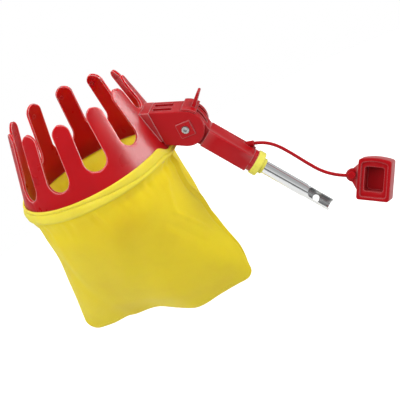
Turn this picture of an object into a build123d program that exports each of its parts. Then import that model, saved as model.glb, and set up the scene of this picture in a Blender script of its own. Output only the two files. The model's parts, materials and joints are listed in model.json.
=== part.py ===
from build123d import *
import os
from math import cos, pi, radians, sin, tan

os.makedirs("parts", exist_ok=True)

# Fits, in millimetres
running_fit = 0.06     # radial play of what turns on a pin or bush
slip_fit = 0.1         # play of a piece that is pushed in by hand
free_gap = 0.4         # space between faces that pass each other

# Travel, in degrees
tilt_up = 35.0         # the crown rises until the arm is in line with the socket
tilt_down = 20.0
lever_swing = 12.0
swing_margin = 4.0     # spare travel that the hinge's slot allows

# Pole tube: bright steel, plugs into a pole
tube_d = 12.0
tube_seat_len = 42.0   # full-round stretch that the pole grips
tube_tip_d = 11.0      # free end, a little smaller to lead into the pole
tube_tip_len = 27.0
tube_tilt = 56.0       # degrees below the horizontal
tube_root_d = 11.0     # swaged root held in the socket
tube_root_len = 38.0
tube_bore_d = 8.6
window_len = 25.0
window_w = 9.0
window_depth = 4.4
window_turn = 45.0     # degrees from the top of the tube towards the front
snap_hole_d = 6.5
snap_hole_from_end = 13.5
tube_pin_d = 3.0
tube_pin_inset = 8.0   # from the root's inner end
tube_pin_cover = 2.5   # the pin's hole stops this far under the front face

# Collar ring between the socket and the pole
ring_d = 22.5
ring_len = 6.5
ring_edge = 0.8
nose_d = 14.5
nose_len = 3.5

# Socket: box grip with a round collar, and a forked tongue at the hinge
socket_reach = 77.0    # hinge axis to the end of the collar ring
socket_w = 20.0
socket_h = 17.0
socket_edge = 1.2
collar_d = 20.0
collar_len = 4.0
shoulder = 18.6        # hinge axis to the front of the box
tongue_r = 15.6
tongue_w = 14.4
rib_groove_w = 1.6
rib_groove_depth = 1.2
rib_groove_at = 4.7    # from the middle plane

# Hinge
bolt_d = 4.0
bolt_head_d = 6.8
bolt_head_h = 2.6
bolt_head_sunk = 1.5
bolt_head_edge = 0.5
bolt_hex = 3.0
bolt_hex_depth = 1.6
nut_flats = 7.0
nut_h = 3.0
spring_washer_t = 1.0
bush_d = 7.0
washer_d = 13.0
washer_t = 1.0

# Arm: box neck from the crown to the hinge, with two round cheeks
arm_neck = 23.5        # seat on the crown to hinge axis
hinge_rise = 2.0       # hinge axis above the hem plane
arm_w = 24.0
arm_edge = 0.8
arm_root_top = 28.0    # above the hem plane
arm_root_low = -4.8
cheek_r = 16.6
boss_size = 13.5
boss_h = 1.2
groove_w = 5.0
groove_pitch = 9.0
groove_len = 17.0
groove_depth = 2.6
groove_inset = 2.5

# Lock lever: an eye on the hinge bush, a curved cap over the cheeks and a thumb tab
lever_plate = 3.6
lever_eye_d = 13.0
lever_web = 7.0
lever_cap_t = 1.8
lever_cap_w = 23.0
lever_cap_from = 34.0  # degrees above the horizontal
lever_cap_to = 76.0
lever_tab_at = 46.0
lever_tab_len = 15.0
lever_tab_w = 9.0
lever_tab_base = 4.0
lever_tab_tip = 2.4

# Crown: a conical ring with tall fingers
crown_r = 73.2         # outer radius at the hem plane
skirt_taper = 11.0     # degrees, below the hem plane
crown_wall = 2.6
crown_skirt = 13.5     # depth below the hem plane
tip_ring_r = 57.2      # outer radius at the finger tips
crown_lean = 4.2       # the ring of tips stands this far towards the arm
finger_count = 11
finger_crowd = 3.0     # degrees by which the side fingers are drawn towards the arm
finger_top = 63.5      # mean height of the tips
tip_drop = 2.6         # lower at the arm, higher opposite it
finger_base_w = 20.0
finger_tip_w = 16.4
gap_floor = 11.0       # mean height of the gaps' floors
gap_rise = 5.5         # higher towards the arm, lower away from it
arm_gap_rise = 1.2     # the gap over the arm stops this far above the arm's seat

# Seat of the arm on the crown
pad_stand = 1.3        # the seat stands this far out from the wall at the hem plane

# Arm screws, driven from inside the crown
screw_d = 3.5
screw_bite = 5.5
screw_head_d = 7.0
screw_head_h = 2.2
screw_low = 5.0        # above the hem plane
screw_high = 22.0

# Bag hem: a folded band round the crown's skirt, with an elastic cord inside
cloth = 1.2
hem_top = -0.6
hem_lip = 1.2
hem_full = 2.3         # the fold stands out this far past the skirt's foot
hem_bulge_at = -8.5
hem_return = 2.4       # the fold reaches this far under the skirt
elastic_d = 2.4

# Bag: a hanging cloth sack, round at the hem and flat at its bottom seam
bag_depth = 163.0      # below the hem plane
bag_bottom_w = 183.0
bag_bottom_t = 8.0
bag_lean = 8.0         # the bottom hangs this far away from the arm
bag_seam = 4.0
bag_corner = 16.0      # rounding of its bottom corners

# Tether: a stiff moulded cord from the socket to the lock cap
tether_d = 3.0
tether_bite = 2.0      # depth of each end in its plug or button
tether_lead = 9.0      # straight stretch out of each end
tether_arrive = 6.5    # degrees between the cord's end and the lock cap's width
plug_d = 5.4
plug_out = 5.2
plug_in = 3.2
plug_along = 55.5      # hinge axis to the plug, along the socket
plug_side = 6.4        # from the middle plane, towards the back
plug_lift = 44.0       # degrees between the plug and the socket's top
button_d = 7.0
button_h = 5.0
button_edge = 1.2
button_shank_d = 4.2
button_foot_d = 6.2
button_foot_h = 1.4

# Lock cap: a moulded box with a pocket, and a tab with an eye
cap_w = 29.0
cap_h = 37.5
cap_arch = 2.0         # rise of its top edge
cap_depth = 19.0
cap_edge = 2.4
cap_front_round = 0.8
cap_rim = 3.0          # width of the step round the front
cap_step = 1.6
cap_pocket_w = 17.0
cap_pocket_h = 21.6
cap_pocket_depth = 16.0
cap_tab_t = 2.6
cap_tab_eye_out = 4.8
cap_tab_eye_up = 2.0
cap_tab_r = 6.0
cap_from_plug = (89.32, -10.4, -68.94)   # its front's middle, from the plug's foot

# Places worked out from the sizes. The origin is where the tube leaves the collar ring.
tube_dir = Vector(cos(radians(tube_tilt)), 0, -sin(radians(tube_tilt)))
top_dir = Vector(sin(radians(tube_tilt)), 0, cos(radians(tube_tilt)))
front_dir = Vector(0, -1, 0)
hinge_at = tube_dir * -socket_reach
pad_face = crown_r + pad_stand
arm_reach = pad_face + arm_neck
crown_at = hinge_at + Vector(-arm_reach, 0, -hinge_rise)
window_dir = top_dir * cos(radians(window_turn)) + front_dir * sin(radians(window_turn))

TUBE = Plane(origin=(0, 0, 0), x_dir=window_dir, z_dir=tube_dir)
ALONG = Plane(origin=hinge_at, x_dir=(0, 1, 0), z_dir=tube_dir)
SOCKET_SIDE = Plane(origin=hinge_at, x_dir=tube_dir, z_dir=front_dir)
HEAD_SIDE = Plane(origin=hinge_at, x_dir=(1, 0, 0), z_dir=front_dir)
CROWN = Plane(origin=crown_at, x_dir=(1, 0, 0), z_dir=(0, 0, 1))
CROWN_SIDE = Plane(origin=crown_at, x_dir=(1, 0, 0), z_dir=front_dir)
CROWN_AXIS = Axis(crown_at, (0, 0, 1))

tube_reach = tube_seat_len + tube_tip_len
collar_end = socket_reach - nose_len - ring_len
box_end = collar_end - collar_len
fork_gap = tongue_w + 2 * (washer_t + slip_fit)
tongue_slot = lever_plate + 2 * free_gap
boss_face = arm_w / 2 + boss_h
head_seat = boss_face - bolt_head_sunk
nut_seat = boss_face - nut_h - spring_washer_t
lever_cap_r = cheek_r + free_gap
lever_cap_outer = lever_cap_r + lever_cap_t


def crown_radius(height):
    """Outer radius of the crown's wall at a height above the hem plane."""
    if height < 0:
        return crown_r - tan(radians(skirt_taper)) * height
    return crown_r - (crown_r - tip_ring_r) * height / finger_top


def crown_shift(height):
    """How far towards the arm the middle of the crown's wall stands at a height."""
    return crown_lean * max(height, 0) / finger_top


def gap_turn(number):
    """Direction of a gap between two fingers, in radians from the arm."""
    even = 2 * pi * number / finger_count
    return even - radians(finger_crowd) * sin(even)


def tip_height(turn):
    """Height of the tip of a finger that stands in this direction from the arm."""
    return finger_top - tip_drop * cos(turn)


def polar(distance, angle):
    """Point in a side plane, from the hinge axis."""
    return (distance * cos(radians(angle)), distance * sin(radians(angle)))


def beside(distance, angle, offset):
    """Point at a distance along a ray from the hinge axis, set off to its left."""
    along_x, along_y = polar(distance, angle)
    left_x, left_y = polar(offset, angle + 90)
    return (along_x + left_x, along_y + left_y)


def save(piece, name):
    """Label a finished piece and write it to its own file."""
    piece.label = name
    export_step(piece, f"parts/{name}.step")


# Pole tube
pin_at = tube_dir * (tube_pin_inset - tube_root_len)
window_at = tube_dir * (tube_reach - window_len) + window_dir * (tube_tip_d / 2 - window_depth)
snap_at = tube_dir * (tube_reach - snap_hole_from_end)
with BuildPart() as tube:
    with BuildSketch(TUBE.offset(-tube_root_len)):
        Circle(tube_root_d / 2)
    extrude(amount=tube_root_len)
    with BuildSketch(TUBE):
        Circle(tube_d / 2)
    extrude(amount=tube_seat_len)
    with BuildSketch(TUBE.offset(tube_seat_len)):
        Circle(tube_tip_d / 2)
    extrude(amount=tube_tip_len)
    with BuildSketch(TUBE.offset(-tube_root_len)):
        Circle(tube_bore_d / 2)
    extrude(amount=tube_root_len + tube_reach, mode=Mode.SUBTRACT)
    with BuildSketch(Plane(origin=window_at, x_dir=tube_dir, z_dir=window_dir)):
        with Locations((window_w / 2, 0)):
            Circle(window_w / 2)
        with Locations((window_w / 2 + window_len, 0)):
            Rectangle(2 * window_len, window_w)
    extrude(amount=tube_d, mode=Mode.SUBTRACT)
    with BuildSketch(Plane(origin=snap_at, x_dir=tube_dir, z_dir=-window_dir)):
        Circle(snap_hole_d / 2)
    extrude(amount=tube_d, mode=Mode.SUBTRACT)
    with BuildSketch(Plane(origin=pin_at, x_dir=tube_dir, z_dir=front_dir)):
        Circle(tube_pin_d / 2 + slip_fit)
    extrude(amount=tube_d, both=True, mode=Mode.SUBTRACT)
save(tube.part, "pole_tube")

# Cross pin that keeps the tube in the socket, driven in from the back
pin_front = socket_w / 2 - tube_pin_cover
PIN = Plane(origin=pin_at + front_dir * pin_front, x_dir=tube_dir, z_dir=-front_dir)
with BuildPart() as tube_pin:
    with BuildSketch(PIN):
        Circle(tube_pin_d / 2)
    extrude(amount=pin_front + socket_w / 2)
save(tube_pin.part, "tube_pin")

# Collar ring with a smaller nose
with BuildPart() as ring:
    with BuildSketch(ALONG.offset(collar_end)):
        Circle(ring_d / 2)
    extrude(amount=ring_len)
    fillet(ring.edges().filter_by(GeomType.CIRCLE), radius=ring_edge)
    with BuildSketch(ALONG.offset(collar_end + ring_len)):
        Circle(nose_d / 2)
    extrude(amount=nose_len)
    with BuildSketch(ALONG.offset(collar_end)):
        Circle(tube_root_d / 2 + slip_fit)
    extrude(amount=ring_len + nose_len, mode=Mode.SUBTRACT)
save(ring.part, "collar_ring")

# Socket. The tongue's slot lets the lever's web swing through the whole travel.
plug_foot = hinge_at + tube_dir * plug_along + top_dir * (socket_h / 2) - front_dir * plug_side
plug_dir = tube_dir * cos(radians(plug_lift)) + top_dir * sin(radians(plug_lift))
PLUG = Plane(origin=plug_foot, x_dir=(0, 1, 0), z_dir=plug_dir)
web_at = lever_tab_at + tube_tilt
web_low = web_at - tilt_up - lever_swing - swing_margin
web_high = web_at + tilt_down + swing_margin
web_room = lever_web / 2 + free_gap
with BuildPart() as socket:
    with BuildSketch(SOCKET_SIDE):
        with BuildLine():
            CenterArc((0, 0), tongue_r, 0, 360)
            Line((shoulder, socket_h / 4), (shoulder, socket_h / 2))
        make_hull()
    extrude(amount=tongue_w / 2, both=True)
    for side in (rib_groove_at, -rib_groove_at):
        with BuildSketch(SOCKET_SIDE.offset(side)):
            for step, how in ((rib_groove_depth, Mode.ADD), (-rib_groove_depth, Mode.SUBTRACT)):
                with BuildLine():
                    CenterArc((0, 0), tongue_r + step, 0, 360)
                    Line((shoulder, socket_h / 4), (shoulder, socket_h / 2 + step))
                make_hull(mode=how)
        extrude(amount=rib_groove_w / 2, both=True, mode=Mode.SUBTRACT)
    with BuildSketch(SOCKET_SIDE):
        with Locations((shoulder / 2, 0)):
            Rectangle(shoulder, socket_h)
    extrude(amount=tongue_w / 2, both=True)
    with BuildSketch(ALONG.offset(shoulder)):
        RectangleRounded(socket_w, socket_h, socket_edge)
    extrude(amount=box_end - shoulder)
    with BuildSketch(ALONG.offset(box_end)):
        Circle(collar_d / 2)
    extrude(amount=collar_len)
    with BuildSketch(ALONG.offset(socket_reach - tube_root_len)):
        Circle(tube_root_d / 2 + slip_fit)
    extrude(amount=tube_root_len, mode=Mode.SUBTRACT)
    with BuildSketch(SOCKET_SIDE):
        Circle(lever_eye_d / 2 + free_gap)
        with BuildLine():
            slot_reach = 2 * tongue_r
            slot_far = polar(2 * slot_reach, (web_low + web_high) / 2)
            Polyline(beside(0, web_low, -web_room), beside(slot_reach, web_low, -web_room), slot_far,
                     beside(slot_reach, web_high, web_room), beside(0, web_high, web_room), close=True)
        make_face()
    extrude(amount=tongue_slot / 2, both=True, mode=Mode.SUBTRACT)
    with BuildSketch(SOCKET_SIDE):
        Circle(bush_d / 2 + running_fit)
    extrude(amount=tongue_w, both=True, mode=Mode.SUBTRACT)
    with BuildSketch(PIN):
        Circle(tube_pin_d / 2 + slip_fit)
    extrude(amount=2 * socket_w, mode=Mode.SUBTRACT)
    with BuildSketch(PLUG.offset(-plug_in)):
        Circle(plug_d / 2 + slip_fit)
    extrude(amount=plug_in + socket_h, mode=Mode.SUBTRACT)
save(socket.part, "socket")

# Hinge: bush, friction washers, bolt, spring washer and nut
with BuildPart() as bush:
    with BuildSketch(HEAD_SIDE):
        Circle(bush_d / 2)
        Circle(bolt_d / 2 + slip_fit, mode=Mode.SUBTRACT)
    extrude(amount=fork_gap / 2, both=True)
save(bush.part, "hinge_bush")

with BuildPart() as washers:
    for side in (1, -1):
        with BuildSketch(HEAD_SIDE.offset(side * (tongue_w / 2 + slip_fit))):
            Circle(washer_d / 2)
            Circle(bush_d / 2 + slip_fit, mode=Mode.SUBTRACT)
        extrude(amount=side * washer_t)
save(washers.part, "friction_washers")

with BuildPart() as bolt:
    with BuildSketch(HEAD_SIDE.offset(-boss_face)):
        Circle(bolt_d / 2)
    extrude(amount=boss_face + head_seat)
    with BuildSketch(HEAD_SIDE.offset(head_seat)):
        Circle(bolt_head_d / 2)
    extrude(amount=bolt_head_h)
    fillet(bolt.edges().filter_by(GeomType.CIRCLE).sort_by(Axis.Y)[0], radius=bolt_head_edge)
    with BuildSketch(HEAD_SIDE.offset(head_seat + bolt_head_h)):
        RegularPolygon(bolt_hex / 2, 6, major_radius=False)
    extrude(amount=-bolt_hex_depth, mode=Mode.SUBTRACT)
save(bolt.part, "hinge_bolt")

with BuildPart() as spring_washer:
    with BuildSketch(HEAD_SIDE.offset(-nut_seat)):
        Circle(nut_flats / 2)
        Circle(bolt_d / 2 + slip_fit, mode=Mode.SUBTRACT)
    extrude(amount=-spring_washer_t)
save(spring_washer.part, "spring_washer")

with BuildPart() as nut:
    with BuildSketch(HEAD_SIDE.offset(-nut_seat - spring_washer_t)):
        RegularPolygon(nut_flats / 2, 6, major_radius=False)
        Circle(bolt_d / 2 + slip_fit, mode=Mode.SUBTRACT)
    extrude(amount=-nut_h)
save(nut.part, "hinge_nut")

# Arm
root_x = -arm_neck
root_top = arm_root_top - hinge_rise
root_low = arm_root_low - hinge_rise
fork_open = lever_tab_at + tilt_up
fork_close = -tube_tilt - tilt_down - 2 * tilt_down
with BuildPart() as arm:
    with BuildSketch(HEAD_SIDE):
        with BuildLine():
            CenterArc((0, 0), cheek_r, 0, 360)
            Line((root_x, root_low), (root_x, root_top))
        make_hull()
    extrude(amount=arm_w / 2, both=True)
    long_edges = arm.edges().filter_by(Axis.Y, reverse=True)
    fillet(long_edges.filter_by(lambda e: e.center().X > hinge_at.X + root_x + arm_edge), radius=arm_edge)
    top_face = arm.faces().filter_by(GeomType.PLANE).sort_by(Axis.Z)[-1]
    top_normal = top_face.normal_at()
    for side in (1, -1):
        with BuildSketch(HEAD_SIDE.offset(side * arm_w / 2)):
            RectangleRounded(boss_size, boss_size, arm_edge)
        extrude(amount=side * boss_h)
    with BuildSketch(HEAD_SIDE):
        Circle(tongue_r + free_gap)
        with BuildLine():
            Polyline((0, 0), polar(3 * cheek_r, fork_open), polar(4 * cheek_r, 0),
                     polar(3 * cheek_r, fork_close), close=True)
        make_face()
    extrude(amount=fork_gap / 2, both=True, mode=Mode.SUBTRACT)
    with BuildSketch(HEAD_SIDE):
        Circle(bolt_d / 2 + slip_fit)
    extrude(amount=arm_w, both=True, mode=Mode.SUBTRACT)
    with BuildSketch(HEAD_SIDE.offset(head_seat)):
        Circle(bolt_head_d / 2 + slip_fit)
    extrude(amount=arm_w, mode=Mode.SUBTRACT)
    with BuildSketch(HEAD_SIDE.offset(-nut_seat)):
        RegularPolygon(nut_flats / 2 + slip_fit, 6, major_radius=False)
    extrude(amount=-arm_w, mode=Mode.SUBTRACT)
    groove_x = Vector(top_normal.Z, 0, -top_normal.X)
    GROOVE = Plane(origin=hinge_at + Vector(root_x, 0, root_top), x_dir=groove_x, z_dir=top_normal)
    with BuildSketch(GROOVE):
        with Locations((groove_inset + groove_len / 2, 0)):
            with GridLocations(0, groove_pitch, 1, 2):
                RectangleRounded(groove_len, groove_w, arm_edge)
    extrude(amount=-groove_depth, mode=Mode.SUBTRACT)
    for level in (screw_low, screw_high):
        with BuildSketch(Plane(origin=crown_at + Vector(pad_face, 0, level), z_dir=(1, 0, 0))):
            Circle(screw_d / 2 + slip_fit)
        extrude(amount=screw_bite + slip_fit, mode=Mode.SUBTRACT)
save(arm.part, "arm")

# Lock lever
tab_dir = Vector(cos(radians(lever_tab_at)), 0, sin(radians(lever_tab_at)))
TAB = Plane(origin=hinge_at, x_dir=tab_dir, z_dir=front_dir)
tab_foot = lever_cap_r + lever_cap_t / 3
tab_end = lever_cap_outer + lever_tab_len
with BuildPart() as lever:
    with BuildSketch(TAB):
        Circle(lever_eye_d / 2)
        with Locations((lever_cap_r / 2, 0)):
            Rectangle(lever_cap_r + lever_cap_t / 3, lever_web)
    extrude(amount=lever_plate / 2, both=True)
    with BuildSketch(HEAD_SIDE):
        with BuildLine():
            inner = CenterArc((0, 0), lever_cap_r, lever_cap_from, lever_cap_to - lever_cap_from)
            outer = CenterArc((0, 0), lever_cap_outer, lever_cap_from, lever_cap_to - lever_cap_from)
            Line(inner @ 0, outer @ 0)
            Line(inner @ 1, outer @ 1)
        make_face()
    extrude(amount=lever_cap_w / 2, both=True)
    with BuildSketch(TAB):
        with BuildLine():
            Polyline((tab_foot, -lever_tab_base / 2), (tab_end, -lever_tab_tip / 2),
                     (tab_end, lever_tab_tip / 2), (tab_foot, lever_tab_base / 2), close=True)
        make_face()
    extrude(amount=lever_tab_w / 2, both=True)
    tip_edges = lever.edges().filter_by(Axis.Y).sort_by(Axis(hinge_at, tab_dir))[-2:]
    fillet(tip_edges, radius=lever_tab_tip * 0.45)
    with BuildSketch(TAB):
        Circle(bush_d / 2 + running_fit)
    extrude(amount=lever_plate, both=True, mode=Mode.SUBTRACT)
save(lever.part, "lock_lever")

# Crown: a leaning cone with the arm's seat, hollowed out, then slotted into fingers
tip_round = finger_tip_w / 2
above = finger_top + tip_drop + crown_wall
below = -crown_skirt - crown_wall
pad_low = hem_top + slip_fit
pad_slope = top_normal.X / top_normal.Z
pad_crest = arm_root_top + (pad_face - crown_radius(arm_root_top)) * pad_slope
arm_gap_floor = pad_crest + arm_gap_rise
with BuildPart() as crown:
    for level in (-crown_skirt, 0, finger_top + tip_drop):
        with BuildSketch(CROWN.offset(level)):
            with Locations((crown_shift(level), 0)):
                Circle(crown_radius(level))
    loft(ruled=True)
    with BuildSketch(CROWN_SIDE):
        with BuildLine():
            Polyline((0, pad_low), (pad_face, pad_low), (pad_face, arm_root_top),
                     (0, arm_root_top + pad_face * pad_slope), close=True)
        make_face()
    extrude(amount=arm_w / 2, both=True)
    for level in (below, 0, above):
        with BuildSketch(CROWN.offset(level)):
            with Locations((crown_shift(level), 0)):
                Circle(crown_radius(level) - crown_wall)
    loft(ruled=True, mode=Mode.SUBTRACT)
    for i in range(finger_count):
        turn = gap_turn(i)
        floor = arm_gap_floor if i == 0 else gap_floor + gap_rise * cos(turn)
        spread_right = tan((gap_turn(i + 1) - turn) / 2)
        spread_left = tan((turn - gap_turn(i - 1)) / 2)
        right_top = tip_height((turn + gap_turn(i + 1)) / 2)
        left_top = tip_height((turn + gap_turn(i - 1)) / 2)
        right_x = crown_radius(right_top) * spread_right - sin(turn) * crown_shift(right_top)
        left_x = -crown_radius(left_top) * spread_left - sin(turn) * crown_shift(left_top)
        gap_half = (crown_radius(floor) * (spread_right + spread_left) - finger_base_w) / 2
        floor_x = crown_radius(floor) * (spread_right - spread_left) / 2 - sin(turn) * crown_shift(floor)
        out_dir = (cos(turn), sin(turn), 0)
        with BuildSketch(Plane(origin=crown_at, x_dir=(-sin(turn), cos(turn), 0), z_dir=out_dir)):
            with BuildLine():
                floor_arc = CenterArc((floor_x, floor + gap_half), gap_half, 180, 180)
                right_tip = CenterArc((right_x, right_top - tip_round), tip_round, 90, 90)
                left_tip = CenterArc((left_x, left_top - tip_round), tip_round, 0, 90)
                Line(floor_arc @ 1, right_tip @ 1)
                Line(floor_arc @ 0, left_tip @ 0)
                Polyline(right_tip @ 0, (right_x, above), (left_x, above), left_tip @ 1)
            make_face()
        extrude(amount=2 * crown_r, mode=Mode.SUBTRACT)
    for level in (screw_low, screw_high):
        seat_x = crown_radius(level) + crown_shift(level) - crown_wall / 2
        with BuildSketch(Plane(origin=crown_at + Vector(pad_face, 0, level), z_dir=(-1, 0, 0))):
            Circle(screw_d / 2 + slip_fit)
        extrude(amount=pad_face - seat_x + crown_wall, mode=Mode.SUBTRACT)
        with BuildSketch(Plane(origin=crown_at + Vector(seat_x, 0, level), z_dir=(-1, 0, 0))):
            Circle(screw_head_d / 2 + slip_fit)
        extrude(amount=screw_head_d, mode=Mode.SUBTRACT)
save(crown.part, "crown")

# Two screws that hold the arm on its seat
with BuildPart() as screws:
    for level in (screw_low, screw_high):
        seat_x = crown_radius(level) + crown_shift(level) - crown_wall / 2
        with BuildSketch(Plane(origin=crown_at + Vector(pad_face + screw_bite, 0, level), z_dir=(-1, 0, 0))):
            Circle(screw_d / 2)
        extrude(amount=pad_face + screw_bite - seat_x)
        with BuildSketch(Plane(origin=crown_at + Vector(seat_x, 0, level), z_dir=(-1, 0, 0))):
            Circle(screw_head_d / 2)
        extrude(amount=screw_head_h)
save(screws.part, "arm_screws")

# Bag hem, notched where the arm and its seat pass, and the elastic in its fold
hem_in_top = crown_radius(hem_top) + slip_fit
hem_in_low = crown_radius(-crown_skirt) + slip_fit
hem_bulge = hem_in_low + hem_full
under_skirt = -crown_skirt - slip_fit
elastic_at = under_skirt - cloth - elastic_d / 2
hem_low = elastic_at - elastic_d / 2 - cloth
elastic_r = hem_in_low - elastic_d / 4
bag_mouth_r = hem_in_low + hem_lip / 2
notch_low = arm_root_low - (hem_bulge - pad_face) - free_gap
notch_half = arm_w / 2 + 2 * free_gap
with BuildPart() as hem:
    with BuildSketch(CROWN_SIDE):
        with BuildLine():
            inside = Polyline((hem_in_low - hem_return, hem_low), (hem_in_low - hem_return, under_skirt),
                              (hem_in_low, under_skirt), (hem_in_top, hem_top), (hem_in_top + hem_lip, hem_top))
            outside = ThreePointArc(inside @ 1, (hem_bulge, hem_bulge_at), (bag_mouth_r, hem_low))
            Line(outside @ 1, inside @ 0)
        make_face()
        with Locations((elastic_r, elastic_at)):
            Circle(elastic_d / 2 + slip_fit, mode=Mode.SUBTRACT)
    revolve(axis=CROWN_AXIS)
    with BuildSketch(CROWN.offset(notch_low)):
        with Locations((pad_face, 0)):
            Rectangle(crown_r / 2, 2 * notch_half)
    extrude(amount=hem_top - notch_low + free_gap, mode=Mode.SUBTRACT)
save(hem.part, "bag_hem")

with BuildPart() as elastic:
    with BuildSketch(CROWN_SIDE):
        with Locations((elastic_r, elastic_at)):
            Circle(elastic_d / 2)
    revolve(axis=CROWN_AXIS)
save(elastic.part, "hem_elastic")

# Bag: ovals that widen along the seam and thin towards it. t runs from the hem to the seam.
bag_len = bag_depth + hem_low
bag_steps = 5
with BuildPart() as bag:
    for inset, reach, how in ((0, bag_len, Mode.ADD), (cloth, bag_len - bag_seam, Mode.SUBTRACT)):
        with BuildPart(mode=how):
            for step in range(bag_steps + 1):
                t = step / bag_steps * reach / bag_len
                half_w = bag_mouth_r + (bag_bottom_w / 2 - bag_mouth_r) * t ** 1.5
                half_t = bag_mouth_r - (bag_mouth_r - bag_bottom_t / 2) * t ** 1.5
                with BuildSketch(CROWN.offset(hem_low - t * bag_len)):
                    with Locations((-bag_lean * t, 0)):
                        Ellipse(half_w - inset, half_t - inset)
            loft()
            with BuildSketch(CROWN_SIDE) as outline:
                with Locations((-bag_lean, hem_low - reach)):
                    Rectangle(bag_bottom_w - 2 * inset, 2 * reach, align=(Align.CENTER, Align.MIN))
                fillet(outline.vertices().sort_by(Axis.Y)[:2], radius=bag_corner)
            extrude(amount=2 * bag_mouth_r, both=True, mode=Mode.INTERSECT)
save(bag.part, "bag")

# Tether plug, pushed into the socket, with a blind hole for the cord
with BuildPart() as plug:
    with BuildSketch(PLUG.offset(-plug_in)):
        Circle(plug_d / 2)
    extrude(amount=plug_in + plug_out)
    fillet(plug.edges().filter_by(GeomType.CIRCLE).sort_by(Axis(plug_foot, plug_dir))[-1], radius=plug_d / 8)
    with BuildSketch(PLUG.offset(plug_out)):
        Circle(tether_d / 2 + slip_fit)
    extrude(amount=-tether_bite, mode=Mode.SUBTRACT)
save(plug.part, "tether_plug")

# Lock cap: its place, and the way it is turned
cap_at = plug_foot + Vector(*cap_from_plug)
cap_out = Vector(-0.02, -0.92, 0.39).normalized()
cap_lean = Vector(0.906, -0.177, -0.385)
cap_right = (cap_lean - cap_out * cap_out.dot(cap_lean)).normalized()
CAP = Plane(origin=cap_at, x_dir=cap_right, z_dir=cap_out)
TAB_FRONT = CAP.offset(-cap_edge)
eye_x = -cap_w / 2 - cap_tab_eye_out
with BuildPart() as cap:
    for inset, depth, how in ((0, cap_depth, Mode.ADD), (cap_rim, cap_step, Mode.SUBTRACT)):
        half_w = cap_w / 2 - inset
        half_h = cap_h / 2 - inset
        side_top = half_h - cap_arch
        with BuildSketch(CAP) as cap_front:
            with BuildLine():
                Polyline((-half_w, side_top), (-half_w, -half_h), (half_w, -half_h), (half_w, side_top))
                ThreePointArc((-half_w, side_top), (0, half_h), (half_w, side_top))
            make_face()
            fillet(cap_front.vertices(), radius=cap_edge)
        extrude(amount=-depth, mode=how)
    front_rim = cap.faces().sort_by(Axis(cap_at, cap_out))[-1]
    fillet(front_rim.outer_wire().edges(), radius=cap_front_round)
    with BuildSketch(CAP):
        RectangleRounded(cap_pocket_w, cap_pocket_h, cap_edge)
    extrude(amount=-cap_pocket_depth, mode=Mode.SUBTRACT)
    with BuildSketch(TAB_FRONT):
        with BuildLine():
            tab_root = cap_rim - cap_w / 2
            Polyline((tab_root, cap_h / 2 - cap_rim), (eye_x, cap_tab_eye_up + cap_tab_r),
                     (eye_x, cap_tab_eye_up - cap_tab_r), (tab_root, cap_rim - cap_h / 2), close=True)
        make_face()
        with Locations((eye_x, cap_tab_eye_up)):
            Circle(cap_tab_r)
            Circle(button_shank_d / 2 + running_fit, mode=Mode.SUBTRACT)
    extrude(amount=-cap_tab_t)
save(cap.part, "lock_cap")

# Button at the cord's end, snapped through the cap's eye
EYE = Plane(origin=TAB_FRONT.from_local_coords((eye_x, cap_tab_eye_up, 0)), x_dir=cap_right, z_dir=cap_out)
arrive_dir = EYE.x_dir * cos(radians(tether_arrive)) + EYE.y_dir * sin(radians(tether_arrive))
BUTTON_SIDE = Plane(origin=EYE.from_local_coords((0, 0, slip_fit + button_h / 2)), z_dir=-arrive_dir)
with BuildPart() as button:
    with BuildSketch(EYE.offset(slip_fit)):
        Circle(button_d / 2)
    extrude(amount=button_h)
    fillet(button.edges().filter_by(GeomType.CIRCLE).sort_by(Axis(EYE.origin, cap_out))[-1], radius=button_edge)
    with BuildSketch(EYE.offset(slip_fit)):
        Circle(button_shank_d / 2)
    extrude(amount=-cap_tab_t - 2 * slip_fit)
    with BuildSketch(EYE.offset(-cap_tab_t - slip_fit)):
        Circle(button_foot_d / 2)
    extrude(amount=-button_foot_h)
    with BuildSketch(BUTTON_SIDE.offset(button_d / 2 - tether_bite)):
        Circle(tether_d / 2 + slip_fit)
    extrude(amount=button_d, mode=Mode.SUBTRACT)
save(button.part, "tether_button")

# Tether: the points of its route, from the plug's foot
route_points = [
    (23.22, -1.1, -10.14),
    (32.22, -2.0, -22.34),
    (40.72, -2.9, -35.34),
    (49.92, -3.6, -47.94),
]
plug_end = plug_out - tether_bite
button_end = button_d / 2 - tether_bite
route = [PLUG.from_local_coords((0, 0, plug_end + lead)) for lead in (0, tether_lead)]
route += [plug_foot + Vector(*point) for point in route_points]
route += [BUTTON_SIDE.from_local_coords((0, 0, button_end + lead)) for lead in (tether_lead, 0)]
radii = []
for before, corner, after in zip(route, route[1:], route[2:]):
    half_turn = radians((corner - before).get_angle(after - corner)) / 2
    shorter = min((corner - before).length, (after - corner).length)
    radii.append(0.45 * shorter / tan(half_turn))
with BuildPart() as tether:
    with BuildLine():
        path = FilletPolyline(*route, radius=radii)
    with BuildSketch(Plane(origin=path @ 0, z_dir=path % 0)):
        Circle(tether_d / 2)
    sweep()
save(tether.part, "tether")
tube_volume = pi * tether_d ** 2 / 4 * path.length
print("tether radii", [round(r, 1) for r in radii])
print("tether runs", [round((b - a).length, 1) for a, b in zip(route, route[1:])])
print("tether length", round(path.length, 1), "volume ratio", round(tether.part.volume / tube_volume, 4))
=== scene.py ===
import json
import math

import bpy
from mathutils import Matrix, Vector
from mathutils.bvhtree import BVHTree


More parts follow.
